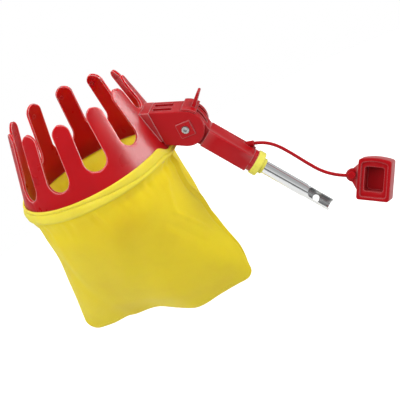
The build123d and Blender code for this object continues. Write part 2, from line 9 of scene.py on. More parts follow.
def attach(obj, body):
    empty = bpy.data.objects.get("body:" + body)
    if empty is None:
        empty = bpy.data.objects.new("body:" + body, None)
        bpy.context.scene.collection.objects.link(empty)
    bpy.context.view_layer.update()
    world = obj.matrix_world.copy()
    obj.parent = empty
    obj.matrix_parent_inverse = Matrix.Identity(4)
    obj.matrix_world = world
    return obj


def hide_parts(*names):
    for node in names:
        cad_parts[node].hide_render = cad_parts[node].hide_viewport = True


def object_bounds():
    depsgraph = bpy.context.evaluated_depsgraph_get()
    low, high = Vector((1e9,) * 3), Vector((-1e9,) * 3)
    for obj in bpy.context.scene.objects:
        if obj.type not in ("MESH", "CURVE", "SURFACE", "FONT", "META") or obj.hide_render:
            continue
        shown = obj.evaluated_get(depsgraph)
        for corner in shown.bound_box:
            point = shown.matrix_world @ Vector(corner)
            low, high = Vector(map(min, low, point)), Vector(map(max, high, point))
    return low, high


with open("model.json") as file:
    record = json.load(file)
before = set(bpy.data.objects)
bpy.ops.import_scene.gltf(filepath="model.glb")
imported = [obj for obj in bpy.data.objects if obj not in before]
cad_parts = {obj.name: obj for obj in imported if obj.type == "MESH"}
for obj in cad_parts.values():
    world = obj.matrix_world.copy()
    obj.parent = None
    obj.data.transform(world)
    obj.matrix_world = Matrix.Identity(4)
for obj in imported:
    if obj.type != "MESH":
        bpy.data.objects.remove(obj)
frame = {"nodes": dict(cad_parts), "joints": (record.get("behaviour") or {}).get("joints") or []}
cad_low, cad_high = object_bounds()
nodes = frame["nodes"]
joints = {joint["name"]: joint for joint in frame["joints"]}

MM = 0.001             # a millimetre, in metres

# Places in the row frame, in metres. The origin and the hinge both lie on the tube's axis.
ARM_REACH = 0.098      # crown's middle to hinge
HINGE_RISE = 0.002     # hinge above the hem plane
TUBE_BORE = 0.0044     # radius inside which the tube is bare
HINGE = Vector(joints["head_tilt"]["pos_m"])
CROWN = HINGE - Vector((ARM_REACH, 0.0, HINGE_RISE))
TUBE_DIR = -HINGE.normalized()

# Camera: turn from the arm, angle above the level and roll in degrees, and metres from the crown
CAMERA_TURN, CAMERA_HEIGHT, CAMERA_ROLL = -63.423, 17.438, -29.306
CAMERA_AWAY = 1.0
CAMERA_AIM = (68.88, 8.45, -74.04)   # what the middle of the picture shows, in millimetres from the crown
LENS, SENSOR = 98.826, 36.0          # millimetres

# Cloth
WEAVE_PITCH = 0.0005   # metres from thread to thread
WAVE_LENGTH = 0.314    # of the wave texture at a scale of 1

# Broken edges of the large moulded pieces
EDGES = {"crown": 0.0008, "socket": 0.0003, "lock_cap": 0.0003}   # their widths, in metres
EDGE_ANGLE = 30.0      # degrees; a sharper edge is broken
FLAT_ANGLE = 0.4       # degrees; faces that turn less than this are one
WELD = 0.000002        # metres; points closer than this are one

# Stitches: along one, (share of its length, share of the thread's width)
STITCH = ((0.0, 0.35), (0.2, 0.9), (0.5, 1.0), (0.8, 0.9), (1.0, 0.35))
STITCH_SIDES = 6
STITCH_SUNK = 0.7      # share of the width by which its ends lie in the cloth

# Small round marks of the moulding pins, inside the crown near each finger's tip, in millimetres.
# Their rings are (share of the radius, rise).
FINGERS = 11
FINGER_CROWD = 3.0     # degrees by which the side fingers are drawn towards the arm
MARK_HEIGHT = 54.0
MARK_RADIUS = 2.1
MARK_SIDES = 20
MARK_RINGS = ((1.0, -0.1), (0.92, 0.28), (0.7, 0.34), (0.55, 0.12), (0.3, 0.05))
MARK_MIDDLE = 0.05     # rise of the middle

# Hem: a folded band on the crown's skirt, with two soft lobes and a sewn crease between them.
# Heights are from the hem plane and distances off the skirt, in millimetres, and turns in degrees.
SKIRT_RADIUS = 73.2    # at the hem plane
SKIRT_TAPER = 11.0     # degrees
HEM_TOP, HEM_LOW = -0.6, -12.2
HEM_SIDES = 160
# Its upper edge and its inner side, as (height, distance off the skirt)
HEM_EDGE = (HEM_TOP + 0.1, 0.603)
HEM_INSIDE = ((HEM_LOW, 1.6), (HEM_LOW - 0.3, 0.842), (-9.0, 0.5), (-4.5, 0.45), (HEM_TOP - 0.3, 0.225))
CREASE_HEIGHTS = (-8.6, -3.4)         # beside the arm, and at the far side from it
CREASE_TURNS = (35.0, 95.0)           # where it goes from one to the other
CREASE_OFF = 1.55
LOBE_STEPS = 6
LOBE_OFF = 1.5         # where a lobe starts and ends
LOBE_FULL = 0.7        # how far a lobe stands out from there
LOBE_GROWTH = 0.12     # and how much further for each millimetre of its height
LOBE_SWELLS = (0.8, 1.0)              # shares of that for the upper and the lower lobe
LOBE_ROUND = 0.8       # power of its roundness
HEM_WAVES = ((0.16, 23, 0.6), (0.12, 37, 0.0))   # unevenness of both lobes, as waves
DIP = 8.0              # how far the arm presses it down
DIP_TURNS = (8.5, 19.0)               # where the dip starts to fade, and where it ends
DIP_EASE = 0.75        # share of the dip that its lower edge is spared
DIP_HEIGHTS = (-3.0, -12.0)           # where that starts, and where it is full
HEM_THREAD = 0.0005    # metres
HEM_THREAD_OFF = 1.75
HEM_STITCH = 0.72      # share of its pitch that a stitch covers
HEM_ROUND, HEM_STEP = 0.077, 0.0012   # flat size in metres, for a radian and for a point of the section

# Bag: half-widths away from the arm and towards it, and half-depth, each by height from the hem plane.
# Lengths are in millimetres and turns in degrees. A span is where a form fades in and out, by height.
BAG_TOP, BAG_LOW = -9.0, -163.0
BAG_LEFT = [
    (-9, 77.0), (-14, 75.8), (-24, 71.4), (-41, 71.0), (-60, 73.4), (-98, 84.0), (-134, 92.5), (-163, 97.5),
]
BAG_RIGHT = [
    (-9, 77.0), (-14, 75.6), (-19, 72.6), (-26, 74.4), (-34, 74.6), (-60, 74.4), (-96, 76.4), (-116, 80.4),
    (-138, 84.5), (-163, 84.0),
]
BAG_HALF_DEPTH = [
    (-9, 77.0), (-14, 76.6), (-24, 74.0), (-41, 70.5), (-60, 63.5), (-98, 45.0), (-134, 25.0), (-158, 6.0),
    (-163, 1.6),
]
# How far the bottom seam lies above its mean height, by the place along it
BAG_HANG = [
    (84, 0.0), (73, 0.0), (46, -4.2), (19, -8.4), (-1, -3.2), (-20, 3.2), (-45, 3.4), (-53, 4.6), (-70, 2.4),
    (-95, 2.0),
]
BAG_SIDES, BAG_ROWS = 288, 88
BAG_CROWD = 0.6        # how much closer the sides are beside the arm, where the folds are
BAG_CORNER = 12.0      # rounding of the bottom corners
BAG_CLOTH = 0.0006     # thickness in metres
BAG_ROUND, BAG_DEEP = 0.084, 0.155    # flat size in metres, for a radian and from hem to seam
# Fullness of its section over an oval, as a power, with how far the sides then come in
FULLNESS, FULL_TRIM = 0.2, 1.4
FULL_SPAN = ((-14.0, -40.0), (-150.0, -110.0))
# Slack of the lower cloth, as bumps to the back by the place along the seam
SLACK = ((1.6, -30.0, 22.0), (-4.5, 20.0, 26.0), (-1.0, -72.0, 24.0))
SLACK_FROM = 0.3       # share of the way down where it starts

# Fold beside the arm: its turns above and below, the heights between which it goes over, and its width.
# The tuck behind it goes by height. Its welt and groove are bumps by the turn from the fold.
FOLD_TURNS, FOLD_HEIGHTS, FOLD_WIDTH = (-3.5, 4.0), (-47.0, -80.0), 2.6
FOLD_TUCK = [(-12, 0.0), (-19, 6.0), (-33, 7.5), (-44, 6.5), (-60, 4.0), (-80, 2.4), (-100, 0.0)]
WELT = ((1.4, -0.6, 1.5), (-1.5, -3.8, 1.4))
WELT_SPAN = ((-13.0, -22.0), (-160.0, -130.0))

# Pleat past the fold, in the same terms
PLEAT_TURNS, PLEAT_HEIGHTS, PLEAT_WIDTH = (8.0, 21.0), (-47.0, -95.0), 6.0
PLEAT_DEPTH = 2.6
PLEAT_SPAN = ((-16.0, -40.0), (-108.0, -78.0))

# Gathers under the hem, as waves
GATHERS = ((0.35, 41, 0.8), (0.25, 58, 0.0))
GATHER_SPAN = ((-40.0, -15.0), (-11.0, -16.0))

# Creases: two ends as (turn, height), then how far the cloth stands out and the crease's width
CREASES = [
    ((-24, -26), (-33, -58), 1.0, 3.5),
    ((-33, -55), (-14, -98), 1.3, 3.2),
    ((-45, -60), (-27, -104), -0.8, 5.0),
    ((-78, -30), (-107, -140), 1.3, 8.0),
    ((-66, -34), (-97, -142), -1.2, 7.0),
    ((-118, -20), (-128, -70), 0.7, 4.5),
    ((-52, -16), (-60, -44), -0.6, 3.5),
    ((-140, -40), (-126, -120), -0.8, 6.0),
    ((60, -20), (84, -110), 1.2, 6.0),
    ((100, -24), (118, -130), -1.1, 7.0),
    ((150, -20), (128, -90), 1.0, 5.0),
    ((35, -30), (48, -80), -0.8, 5.0),
]
CREASE_ENDS = ((-0.25, 0.2), (1.25, 0.7))   # how a crease fades, in shares of its length
DEGREE = 1.2           # of turn, in millimetres round the bag

# Stitches of the bottom seam
SEAM_STITCHES = 120
SEAM_AT = 0.972        # share of the way down
SEAM_STITCH = 0.68     # share of its pitch that a stitch covers
SEAM_THREAD = 0.0006   # metres
SEAM_CORNER = 0.25     # sine of the turn from a corner within which there are none
SEAM_STEP = 0.01       # share of the way down over which the cloth's slope is taken

# Tether: the route's own points, from the plug to the button, in metres
ROUTE = [
    (-0.00185, 0.00640, 0.02191),
    (0.00696, 0.00640, 0.02004),
    (0.01824, 0.00530, 0.01244),
    (0.02724, 0.00440, 0.00024),
    (0.03574, 0.00350, -0.01276),
    (0.04494, 0.00280, -0.02536),
    (0.05775, 0.00151, -0.03422),
    (0.06628, 0.00023, -0.03679),
]
CORD_RADIUS = 0.0015

# Studio: what reflections show of it, as brightness by the height of the direction
ROOM_SPAN = (-0.4, 0.6)               # heights that its ramp covers
ROOM = [
    (-0.3, 0.72), (-0.24, 0.66), (-0.15, 0.36), (-0.06, 0.12), (0.03, 0.12), (0.08, 0.74), (0.17, 0.7),
    (0.24, 0.5), (0.3, 0.48), (0.4, 0.4), (0.44, 0.42), (0.49, 0.66), (0.52, 0.64), (0.545, 0.36),
]
ROOM_LIGHT = (0.27, 0.35)             # strength of its soft light from below and from above
FLOOR_RADIUS, FLOOR_DROP = 0.8, 0.1   # metres; the drop is under the object
FLOOR_SIDES = 64
FLOOR_GREYS = (0.58, 0.6)
FLOOR_LIFT = 0.5       # its brightness that only the camera sees
# Soft lamps: turn from the arm and angle above the level in degrees, metres away, width, height and watts
LAMPS = {
    "side": (5, 22, 1.4, 0.8, 0.8, 12.3),
    "left": (-130, 35, 1.4, 0.8, 0.9, 11.4),
    "front": (-64, 38, 1.75, 1.4, 0.9, 11.8),
    "top": (90, 88, 1.2, 0.9, 0.9, 4.4),
    "back": (117, 20, 1.35, 1.2, 0.8, 17.0),
    "gleam": (6, 6, 1.4, 1.35, 0.6, 52.0),
}
LAMPS_AIM = (60.0, 0.0, -20.0)        # millimetres from the crown
WHITE = (1.0, 1.0, 1.0, 1.0)


# Places and curves
def at_crown(x, y, z):
    """Point in millimetres from the crown's middle at the hem plane, as a place in metres."""
    return CROWN + Vector((x, y, z)) * MM


def heading(turn, height=0.0):
    """Unit direction at a turn from the arm and an angle above the level, both in radians."""
    level = math.cos(height)
    return Vector((math.cos(turn) * level, math.sin(turn) * level, math.sin(height)))


def round_turn(turn):
    """Turn from the arm in degrees, between -180 and 180."""
    return math.degrees(math.atan2(math.sin(turn), math.cos(turn)))


def mix(a, b, t):
    return a + (b - a) * t


def smooth(low, high, value):
    """Eases from 0 at low to 1 at high."""
    t = min(max((value - low) / (high - low), 0.0), 1.0)
    return t * t * (3.0 - 2.0 * t)


def within(edges, value):
    """1 between two eased edges and 0 outside them; an edge is the places of its 0 and its 1."""
    return smooth(*edges[0], value) * smooth(*edges[1], value)


def bell(value, middle, width):
    """Smooth bump of height 1 about a middle."""
    return math.exp(-((value - middle) / width) ** 2)


def bumps(shapes, value):
    """Sum of bumps, each given as its height, middle and width."""
    return sum(rise * bell(value, middle, width) for rise, middle, width in shapes)


def ripple(waves, turn):
    """Sum of waves round a turn in radians, each given as its height, count and start."""
    return sum(rise * math.sin(count * turn + start) for rise, count, start in waves)


def through(points, place):
    """Smooth line through (place, amount) points, whose places go downwards."""
    if place >= points[0][0]:
        return points[0][1]
    for i in range(len(points) - 1):
        (a, va), (b, vb) = points[i], points[i + 1]
        if place >= b:
            before = points[max(i - 1, 0)]
            after = points[min(i + 2, len(points) - 1)]
            leave = (vb - before[1]) / (b - before[0]) * (b - a)
            arrive = (after[1] - va) / (after[0] - a) * (b - a)
            t = (place - a) / (b - a)
            start = (1.0 + 2.0 * t) * (1.0 - t) ** 2 * va + t * (1.0 - t) ** 2 * leave
            return start + t * t * (3.0 - 2.0 * t) * vb + t * t * (t - 1.0) * arrive
    return points[-1][1]


# Camera
def make_camera():
    place = CROWN + heading(math.radians(CAMERA_TURN), math.radians(CAMERA_HEIGHT)) * CAMERA_AWAY
    back = (place - at_crown(*CAMERA_AIM)).normalized()
    level = Vector((-back.y, back.x, 0.0)).normalized()
    right = Matrix.Rotation(math.radians(CAMERA_ROLL), 3, back) @ level
    up = back.cross(right)
    data = bpy.data.cameras.new("camera")
    data.sensor_width = SENSOR
    data.lens = LENS
    camera = bpy.data.objects.new("camera", data)
    camera.matrix_world = Matrix.Translation(place) @ Matrix((right, up, back)).transposed().to_4x4()
    bpy.context.scene.collection.objects.link(camera)
    bpy.context.scene.camera = camera


# Shader nodes
def new_material(name):
    material = bpy.data.materials.new(name)
    material.use_nodes = True
    tree = material.node_tree
    return material, tree, tree.nodes["Principled BSDF"]


def feed(tree, node, sockets):
    """Gives a node's sockets, by name or number, a value or another node's output."""
    for key, value in sockets.items():
        if isinstance(value, bpy.types.NodeSocket):
            tree.links.new(value, node.inputs[key])
        else:
            node.inputs[key].default_value = value


def add(tree, kind, sockets=None, **settings):
    """New node, with what its sockets are fed and its settings."""
    node = tree.nodes.new(kind)
    feed(tree, node, sockets or {})
    for name, value in settings.items():
        setattr(node, name, value)
    return node


def maths(tree, operation, first, second):
    return add(tree, "ShaderNodeMath", {0: first, 1: second}, operation=operation).outputs[0]


def noise(tree, place, scale, detail=3.0):
    sockets = {"Vector": place, "Scale": scale, "Detail": detail}
    return add(tree, "ShaderNodeTexNoise", sockets).outputs["Fac"]


def between(tree, factor, low, high, start=0.3, end=0.7):
    """Goes evenly from low, where the factor is at start, to high, where it is at end."""
    return add(tree, "ShaderNodeMapRange", {0: factor, 1: start, 2: end, 3: low, 4: high}).outputs[0]


def colours(tree, factor, *stops):
    """Colour ramp through (position, colour) stops."""
    node = add(tree, "ShaderNodeValToRGB", {0: factor})
    elements = node.color_ramp.elements
    while len(elements) < len(stops):
        elements.new(0.5)
    for element, (position, colour) in zip(elements, stops):
        element.position = position
        element.color = (*colour, 1.0)
    return node.outputs[0]


def blended(tree, factor, tone, colour):
    """The tone of another node where the factor is 0, and a plain colour where it is 1."""
    sockets = {"Fac": factor, "Color1": tone, "Color2": (*colour, 1.0)}
    return add(tree, "ShaderNodeMixRGB", sockets).outputs[0]


def shade(colour, factor):
    return tuple(min(1.0, c * factor) for c in colour)


# Materials
def moulded(name, colour, rough=0.3, level=0.22, edge=0.0008, rim=0.5, glow=0.0):
    """Injection-moulded plastic: faint flow marks, a fine skin, and rounded edges with a painted highlight,
    paler by rim.

    The glow is how much light it lets through.
    """
    material, tree, shader = new_material(name)
    place = add(tree, "ShaderNodeTexCoord").outputs["Object"]
    flow = noise(tree, place, scale=38.0, detail=4.0)
    skin = noise(tree, place, scale=900.0, detail=2.0)
    tone = colours(tree, flow, (0.25, shade(colour, 0.9)), (0.5, colour), (0.8, shade(colour, 1.08)))
    rounded = add(tree, "ShaderNodeBevel", {"Radius": edge}, samples=6).outputs[0]
    flat = add(tree, "ShaderNodeNewGeometry").outputs["True Normal"]
    turned = add(tree, "ShaderNodeVectorMath", {0: rounded, 1: flat}, operation="DOT_PRODUCT")
    # Painted highlight: the rounded edges are mixed towards the pale colour below, as far as rim says.
    edge_highlight = between(tree, turned.outputs["Value"], rim, 0.0, start=0.9, end=0.99)
    pale = tuple(mix(c, 0.65, 0.5) for c in shade(colour, 1.2))
    bump = {"Height": skin, "Strength": 0.05, "Distance": 0.00003, "Normal": rounded}
    feed(tree, shader, {
        "Base Color": blended(tree, edge_highlight, tone, pale),
        "Roughness": between(tree, flow, rough - 0.04, rough + 0.05),
        "Specular IOR Level": level,
        "Subsurface Weight": glow,
        "Subsurface Radius": (1.0, 0.08, 0.08),
        "Subsurface Scale": 0.007,
        "Normal": add(tree, "ShaderNodeBump", bump).outputs[0],
    })
    return material


def woven(name, colour, warm):
    """Fine plain-weave cloth with painted shade, darker and warmer, in the gaps between its threads. Warp
    and weft follow the cloth's own flat size.
    """
    material, tree, shader = new_material(name)
    coords = add(tree, "ShaderNodeTexCoord")
    wave = {"Vector": coords.outputs["UV"], "Scale": WAVE_LENGTH / WEAVE_PITCH}
    wave.update({"Distortion": 0.6, "Detail Scale": 2.0})
    warp = add(tree, "ShaderNodeTexWave", wave, bands_direction="X").outputs["Fac"]
    weft = add(tree, "ShaderNodeTexWave", wave, bands_direction="Y").outputs["Fac"]
    thread = maths(tree, "MULTIPLY", warp, weft)
    slub = noise(tree, coords.outputs["Object"], scale=26.0, detail=4.0)
    tone = colours(tree, slub, (0.25, shade(warm, 0.96)), (0.5, colour), (0.8, shade(colour, 1.04)))
    # Painted shade in the gaps between the threads.
    gap_shade = between(tree, thread, 0.14, 0.0, start=0.0, end=0.5)
    bump = {"Height": thread, "Strength": 0.18, "Distance": 0.0001}
    feed(tree, shader, {
        "Base Color": blended(tree, gap_shade, tone, shade(warm, 0.6)),
        "Roughness": between(tree, slub, 0.6, 0.75),
        "Specular IOR Level": 0.2,
        "Sheen Weight": 0.08,
        "Sheen Roughness": 0.4,
        "Subsurface Weight": 0.8,
        "Subsurface Radius": (1.0, 0.8, 0.15),
        "Subsurface Scale": 0.0015,
        "Normal": add(tree, "ShaderNodeBump", bump).outputs[0],
    })
    return material


def plated(name, colour, rough, axis=None, bore=0.0):
    """Bright metal with fine marks. A tube's marks follow its axis, and its bore is bare and dull."""
    material, tree, shader = new_material(name)
    place = add(tree, "ShaderNodeTexCoord").outputs["Object"]
    grain = place
    if axis is not None:
        drawn = {"Vector": place, "Scale": (40.0, 1.0, 1.0)}
        drawn["Rotation"] = axis.to_track_quat("X", "Z").to_euler()
        grain = add(tree, "ShaderNodeMapping", drawn, vector_type="TEXTURE").outputs[0]
    marks = noise(tree, grain, scale=900.0, detail=3.0)
    tone = colours(tree, marks, (0.3, shade(colour, 0.93)), (0.7, colour))
    polish = between(tree, marks, rough, rough + 0.05)
    if axis is not None:
        across = add(tree, "ShaderNodeVectorMath", {0: place, 1: axis}, operation="CROSS_PRODUCT")
        radius = add(tree, "ShaderNodeVectorMath", {0: across.outputs[0]}, operation="LENGTH")
        inside = between(tree, radius.outputs["Value"], 1.0, 0.0, start=bore, end=bore + 0.0003)
        tone = blended(tree, inside, tone, shade(colour, 0.55))
        polish = maths(tree, "ADD", polish, maths(tree, "MULTIPLY", inside, 0.2))
    bump = {"Height": marks, "Strength": 0.02, "Distance": 0.00001}
    feed(tree, shader, {
        "Base Color": tone,
        "Roughness": polish,
        "Metallic": 1.0,
        "Normal": add(tree, "ShaderNodeBump", bump).outputs[0],
    })
    return material


RED = (0.40, 0.004, 0.008)
# rim sets how strong the painted highlight on the rounded edges is.
red = moulded("red_plastic", shade(RED, 0.92), rim=0.5)
crown_red = moulded("crown_plastic", RED, edge=0.001, rim=1.0, glow=0.9)
mark_red = moulded("mark_plastic", RED, edge=0.0002, rim=0.1)
cap_red = moulded("cap_plastic", shade(RED, 0.82), rim=0.4, level=0.1)
ring_yellow = moulded("ring_yellow", (0.66, 0.61, 0.09))
washer_black = moulded("washer_plastic", (0.03, 0.03, 0.034), rough=0.5, rim=0.1)
rubber_tan = moulded("elastic", (0.5, 0.43, 0.28), rough=0.7, rim=0.1)
chrome = plated("tube_chrome", (0.93, 0.94, 0.95), 0.05, axis=TUBE_DIR, bore=TUBE_BORE)
steel = plated("steel", (0.62, 0.62, 0.62), 0.25)
bag_cloth = woven("bag_cloth", (0.73, 0.58, 0.022), (0.71, 0.545, 0.016))
# The inner side of the cloth is paler and greener than the outer: painted light, standing in for light that
# comes through the cloth.
bag_inside_lit = woven("bag_inside_lit", (0.80, 0.72, 0.075), (0.73, 0.62, 0.04))
hem_cloth = woven("hem_cloth", (0.73, 0.62, 0.065), (0.70, 0.58, 0.05))
thread_yellow = moulded("thread", (0.78, 0.62, 0.05), rough=0.6, rim=0.05)

FINISHES = {
    "crown": crown_red,
    "arm": red,
    "lock_lever": red,
    "socket": red,
    "tether_plug": cap_red,
    "tether": cap_red,
    "tether_button": cap_red,
    "lock_cap": cap_red,
    "collar_ring": ring_yellow,
    "pole_tube": chrome,
    "hinge_bolt": steel,
    "hinge_nut": steel,
    "spring_washer": steel,
    "arm_screws": steel,
    "tube_pin": steel,
    "hinge_bush": washer_black,
    "friction_washers": washer_black,
    "hem_elastic": rubber_tan,
    "bag": bag_cloth,
    "bag_hem": hem_cloth,
}


def dress_nodes():
    """Own material for each solid, and broken edges on the large moulded ones."""
    for name, node in nodes.items():
        node.data.materials.clear()
        node.data.materials.append(FINISHES[name])
        if name not in EDGES:
            continue
        for face in node.data.polygons:
            face.use_smooth = True
        weld = node.modifiers.new("weld", "WELD")
        weld.merge_threshold = WELD
        plain = node.modifiers.new("plain", "DECIMATE")
        plain.decimate_type = "DISSOLVE"
        plain.angle_limit = math.radians(FLAT_ANGLE)
        edge = node.modifiers.new("edge", "BEVEL")
        edge.width = EDGES[name]
        edge.segments = 2
        edge.limit_method = "ANGLE"
        edge.angle_limit = math.radians(EDGE_ANGLE)
        edge.harden_normals = True


# Building of pieces
def new_piece(name, points, faces, material, flats=None):
    """Mesh piece from points and faces; flats are its flat coordinates in metres, one per point."""
    mesh = bpy.data.meshes.new(name)
    mesh.from_pydata([tuple(p) for p in points], [], faces)
    if flats:
        layer = mesh.uv_layers.new(name="flat")
        for loop in mesh.loops:
            layer.data[loop.index].uv = flats[loop.vertex_index]
    mesh.materials.append(material)
    for face in mesh.polygons:
        face.use_smooth = True
    piece = bpy.data.objects.new(name, mesh)
    bpy.context.scene.collection.objects.link(piece)
    return piece


def applied(piece):
    """The piece with its modifiers worked into its mesh."""
    graph = bpy.context.evaluated_depsgraph_get()
    done = bpy.data.meshes.new_from_object(piece.evaluated_get(graph))
    piece.modifiers.clear()
    piece.data = done
    return piece


def ring(middle, across, up, radius, sides):
    """Points of a circle about a middle, in the plane of two directions."""
    turns = [2 * math.pi * k / sides for k in range(sides)]
    return [middle + (across * math.cos(a) + up * math.sin(a)) * radius for a in turns]


def strips(first, rings, sides, closed=False):
    """Faces between rings of points, which follow each other; closed joins the last ring to the first."""
    faces = []
    for row in range(rings if closed else rings - 1):
        here = first + row * sides
        after = first + (row + 1) % rings * sides
        for k in range(sides):
            beside = (k + 1) % sides
            faces.append((here + k, here + beside, after + beside, after + k))
    return faces


def sew(name, runs, size, material):
    """One piece of stitches, each from its (start, end, outward direction); size is the thread's width."""
    points, faces = [], []
    for start, end, out in runs:
        across = (end - start).cross(out).normalized()
        first = len(points)
        for t, width in STITCH:
            middle = start.lerp(end, t) + out * size * (math.sin(math.pi * t) - STITCH_SUNK)
            points += ring(middle, across, out, size / 2 * width, STITCH_SIDES)
        last = len(points) - STITCH_SIDES
        faces += strips(first, len(STITCH), STITCH_SIDES)
        faces.append(tuple(range(first, first + STITCH_SIDES))[::-1])
        faces.append(tuple(range(last, last + STITCH_SIDES)))
    return new_piece(name, points, faces, material)


# Marks in the crown
def make_marks():
    crown = nodes["crown"].data
    corners = [v.co for v in crown.vertices]
    surface = BVHTree.FromPolygons(corners, [tuple(p.vertices) for p in crown.polygons])
    points, faces = [], []
    for finger in range(FINGERS):
        even = 2 * math.pi * (finger + 0.5) / FINGERS
        out = heading(even - math.radians(FINGER_CROWD) * math.sin(even))
        hit, normal, _, _ = surface.ray_cast(at_crown(0.0, 0.0, MARK_HEIGHT), out)
        inward = normal if normal.dot(out) < 0.0 else -normal
        across = inward.cross(Vector((0.0, 0.0, 1.0))).normalized()
        up = across.cross(inward)
        first = len(points)
        for share, rise in MARK_RINGS:
            middle = hit + inward * rise * MM
            points += ring(middle, across, up, share * MARK_RADIUS * MM, MARK_SIDES)
        peak = len(points)
        inner = peak - MARK_SIDES
        points.append(hit + inward * MARK_MIDDLE * MM)
        faces += strips(first, len(MARK_RINGS), MARK_SIDES)
        faces += [(inner + k, inner + (k + 1) % MARK_SIDES, peak) for k in range(MARK_SIDES)]
        faces.append(tuple(range(first, first + MARK_SIDES))[::-1])
    marks = new_piece("finger_marks", points, faces, mark_red)
    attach(marks, "head")


# Hem
def skirt(height):
    """Outer radius of the crown's skirt at a height."""
    return SKIRT_RADIUS - math.tan(math.radians(SKIRT_TAPER)) * min(height, 0.0)


def hem_crease(turn):
    """Height of the crease: near the top at the far side from the arm, low beside the arm."""
    return mix(*CREASE_HEIGHTS, smooth(*CREASE_TURNS, abs(round_turn(turn))))


def hem_dip(turn):
    """How far the hem is pressed down where it passes under the arm."""
    return DIP * (1.0 - smooth(*DIP_TURNS, abs(round_turn(turn))))


def lobe(top, low, swell):
    """Heights and distances off the skirt of a lobe between two heights, without its ends."""
    full = swell * (LOBE_FULL + LOBE_GROWTH * (top - low))
    points = []
    for k in range(1, LOBE_STEPS):
        angle = math.pi * k / LOBE_STEPS
        height = mix(top, low, 0.5 - 0.5 * math.cos(angle))
        points.append((height, LOBE_OFF + full * math.sin(angle) ** LOBE_ROUND))
    return points


def hem_section(turn):
    """The band's section at a turn, from its upper edge down the outside and up the inside."""
    crease = hem_crease(turn)
    uneven = 1.0 + ripple(HEM_WAVES, turn)
    upper = lobe(HEM_TOP, crease, LOBE_SWELLS[0] * uneven)
    lower = lobe(crease, HEM_LOW, LOBE_SWELLS[1] * uneven)
    return [HEM_EDGE, *upper, (crease, CREASE_OFF), *lower, *HEM_INSIDE]


def hem_point(turn, height, off):
    radius = skirt(height) + off
    drop = hem_dip(turn) * (1.0 - DIP_EASE * smooth(*DIP_HEIGHTS, height))
    return at_crown(radius * math.cos(turn), radius * math.sin(turn), height - drop)


def make_hem():
    points, flats, stitches = [], [], []
    reach = math.pi / HEM_SIDES * HEM_STITCH
    for i in range(HEM_SIDES):
        turn = 2 * math.pi * i / HEM_SIDES
        section = hem_section(turn)
        points += [hem_point(turn, height, off) for height, off in section]
        flats += [(HEM_ROUND * turn, HEM_STEP * j) for j in range(len(section))]
        ends = [hem_point(turn + step, hem_crease(turn), HEM_THREAD_OFF) for step in (-reach, reach)]
        stitches.append((*ends, heading(turn)))
    faces = strips(0, HEM_SIDES, len(section), closed=True)
    hem = new_piece("hem_band", points, faces, hem_cloth, flats)
    soft = hem.modifiers.new("soft", "SUBSURF")
    soft.levels = soft.render_levels = 1
    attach(applied(hem), "head")
    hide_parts("bag_hem", "hem_elastic")
    thread = sew("hem_stitches", stitches, HEM_THREAD, thread_yellow)
    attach(thread, "head")


# Bag
def bag_turn(step):
    """Turn of a step round the bag, from 0 to 1."""
    return 2 * math.pi * step - BAG_CROWD * math.sin(2 * math.pi * step)


def arm_side(away, level):
    """Half-width towards the arm, with its fold."""
    fold = mix(*FOLD_TURNS, smooth(*FOLD_HEIGHTS, level))
    tuck = through(FOLD_TUCK, level) * smooth(fold, fold + FOLD_WIDTH, away)
    return through(BAG_RIGHT, level) - tuck + bumps(WELT, away - fold) * within(WELT_SPAN, level)


def pleat(away, level):
    """How far the cloth is drawn in at the pleat."""
    middle = mix(*PLEAT_TURNS, smooth(*PLEAT_HEIGHTS, level))
    return PLEAT_DEPTH * bell(away, middle, PLEAT_WIDTH) * within(PLEAT_SPAN, level)


def crease_height(away, level):
    """How far the cloth stands out by its gathers and creases."""
    total = ripple(GATHERS, math.radians(away)) * within(GATHER_SPAN, level)
    for (start_turn, start), (end_turn, end), rise, width in CREASES:
        along = (level - start) / (end - start)
        off = (away - mix(start_turn, end_turn, along)) * DEGREE
        total += rise * bell(off, 0.0, width) * within(CREASE_ENDS, along)
    return total


def bag_point(turn, t):
    """Place of the cloth at a turn in radians, t of the way down from the hem to the bottom seam."""
    level = mix(BAG_TOP, BAG_LOW, t)
    away = round_turn(turn)
    full = within(FULL_SPAN, level)
    power = 1.0 / (1.0 + FULLNESS * full)
    side = math.copysign(abs(math.cos(turn)) ** power, math.cos(turn))
    depth = math.copysign(abs(math.sin(turn)) ** power, math.sin(turn))
    half = arm_side(away, level) if side > 0.0 else through(BAG_LEFT, level)
    half -= FULL_TRIM * full
    stand = crease_height(away, level)
    x = (half + stand) * side - pleat(away, level)
    y = through(BAG_HALF_DEPTH, level) * depth + stand * math.sin(turn)
    y += smooth(SLACK_FROM, 1.0, t) * bumps(SLACK, x)
    corner = max(0.0, abs(half * side) - (half - BAG_CORNER))
    rise = BAG_CORNER - math.sqrt(max(0.0, BAG_CORNER ** 2 - corner ** 2))
    z = level + rise * t + t ** 3 * through(BAG_HANG, x)
    return at_crown(x, y, z)


def seam_runs():
    """Start, end and outward direction of each stitch of the bottom seam."""
    runs = []
    reach = math.pi / SEAM_STITCHES * SEAM_STITCH
    for k in range(SEAM_STITCHES):
        turn = 2 * math.pi * (k + 0.5) / SEAM_STITCHES
        if abs(math.sin(turn)) < SEAM_CORNER:
            continue
        start = bag_point(turn - reach, SEAM_AT)
        end = bag_point(turn + reach, SEAM_AT)
        down = bag_point(turn, SEAM_AT + SEAM_STEP) - bag_point(turn, SEAM_AT - SEAM_STEP)
        runs.append((start, end, down.cross(end - start).normalized()))
    return runs


def bottom_faces(first):
    """Faces between the two halves of the last ring of points. Those at both ends are triangles."""
    faces = []
    for i in range(BAG_SIDES // 2):
        corners = (i, (BAG_SIDES - i) % BAG_SIDES, BAG_SIDES - i - 1, i + 1)
        faces.append(tuple(first + corner for corner in dict.fromkeys(corners)))
    return faces


